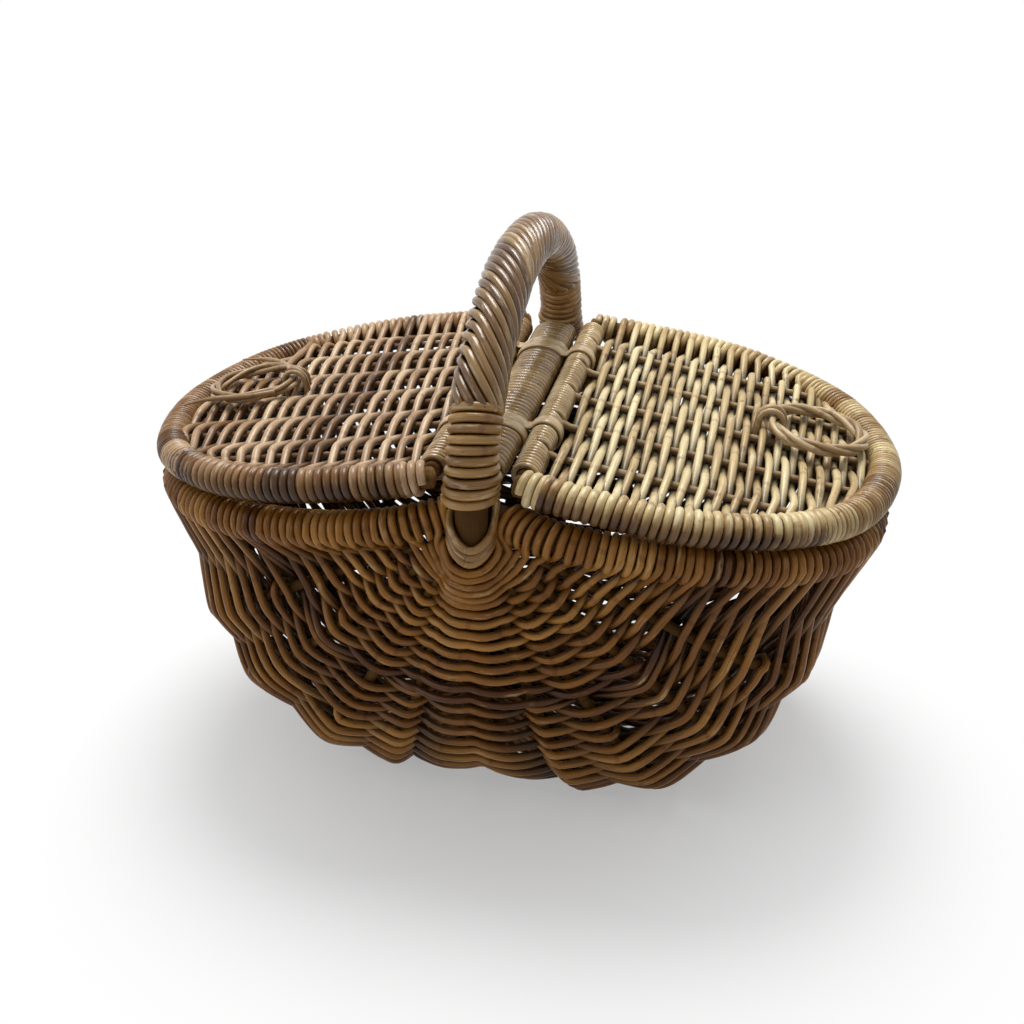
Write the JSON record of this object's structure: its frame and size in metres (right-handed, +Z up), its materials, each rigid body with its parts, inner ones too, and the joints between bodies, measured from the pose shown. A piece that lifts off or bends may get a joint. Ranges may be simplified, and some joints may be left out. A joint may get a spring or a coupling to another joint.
{
  "type": "lidded picnic basket",
  "caption": "Ribbed wicker picnic basket with a wound hoop handle and two hinged woven lids with lift rings.",
  "frame": {"origin": "on the ground, below the middle of the basket", "axes": "+X along the basket from the left lid to the right lid, +Y from the near side to the far side along the hinge bars, +Z up"},
  "size_m": [0.4402, 0.2888, 0.3215],
  "materials": {
    "body_cane": "woven skin of split cane",
    "rod_wood": "round willow rod",
    "lid_right_cane": "pale woven cane",
    "lid_left_cane": "grey-brown woven cane",
    "handle_cane": "wound cane with a worn varnish",
    "band_cane": "flat split cane",
    "ring_cane": "twisted cane"
  },
  "bodies": {
    "basket": {"handle_hoop": "rod_wood", "rim_hoop": "rod_wood", "woven_body": "body_cane", "rib_left_1": "rod_wood", "rib_left_2": "rod_wood", "rib_left_3": "rod_wood", "rib_left_4": "rod_wood", "rib_right_1": "rod_wood", "rib_right_2": "rod_wood", "rib_right_3": "rod_wood", "rib_right_4": "rod_wood", "handle_strands": "handle_cane", "near_base_binding": "handle_cane", "far_base_binding": "handle_cane", "near_ear_lashing": "handle_cane", "far_ear_lashing": "handle_cane", "centre_bar": "rod_wood", "centre_bar_winding": "lid_left_cane", "hinge_band_right_near": "band_cane", "hinge_band_right_far": "band_cane", "hinge_band_left_near": "band_cane", "hinge_band_left_far": "band_cane"},
    "lid_right": {"lid_right_bar": "rod_wood", "lid_right_bar_winding": "lid_right_cane", "lid_right_rim_rod": "rod_wood", "lid_right_weave": "lid_right_cane", "lid_right_stake_1": "rod_wood", "lid_right_stake_2": "rod_wood", "lid_right_stake_3": "rod_wood", "lid_right_stake_4": "rod_wood", "lid_right_stake_5": "rod_wood", "lift_eye_right": "ring_cane"},
    "lid_left": {"lid_left_bar": "rod_wood", "lid_left_bar_winding": "lid_left_cane", "lid_left_rim_rod": "rod_wood", "lid_left_weave": "lid_left_cane", "lid_left_stake_1": "rod_wood", "lid_left_stake_2": "rod_wood", "lid_left_stake_3": "rod_wood", "lid_left_stake_4": "rod_wood", "lid_left_stake_5": "rod_wood", "lid_left_stake_6": "rod_wood", "lift_eye_left": "ring_cane"},
    "ring_right": {"lift_ring_right": "ring_cane"},
    "ring_left": {"lift_ring_left": "ring_cane"}
  },
  "joints": [
    {"name": "lid_right_hinge", "type": "hinge", "parent": "basket", "child": "lid_right", "pos_m": [0.0243, 0, 0.22074], "axis": [0, -1, 0], "range_deg": [0, 95]},
    {"name": "lid_left_hinge", "type": "hinge", "parent": "basket", "child": "lid_left", "pos_m": [-0.0243, 0, 0.22074], "axis": [0, 1, 0], "range_deg": [0, 95]},
    {"name": "ring_right_hinge", "type": "hinge", "parent": "lid_right", "child": "ring_right", "pos_m": [0.14461, 0.008, 0.21348], "axis": [0, -1, 0], "range_deg": [0, 180]},
    {"name": "ring_left_hinge", "type": "hinge", "parent": "lid_left", "child": "ring_left", "pos_m": [-0.14461, 0.006, 0.21348], "axis": [0, 1, 0], "range_deg": [0, 180]}
  ]
}
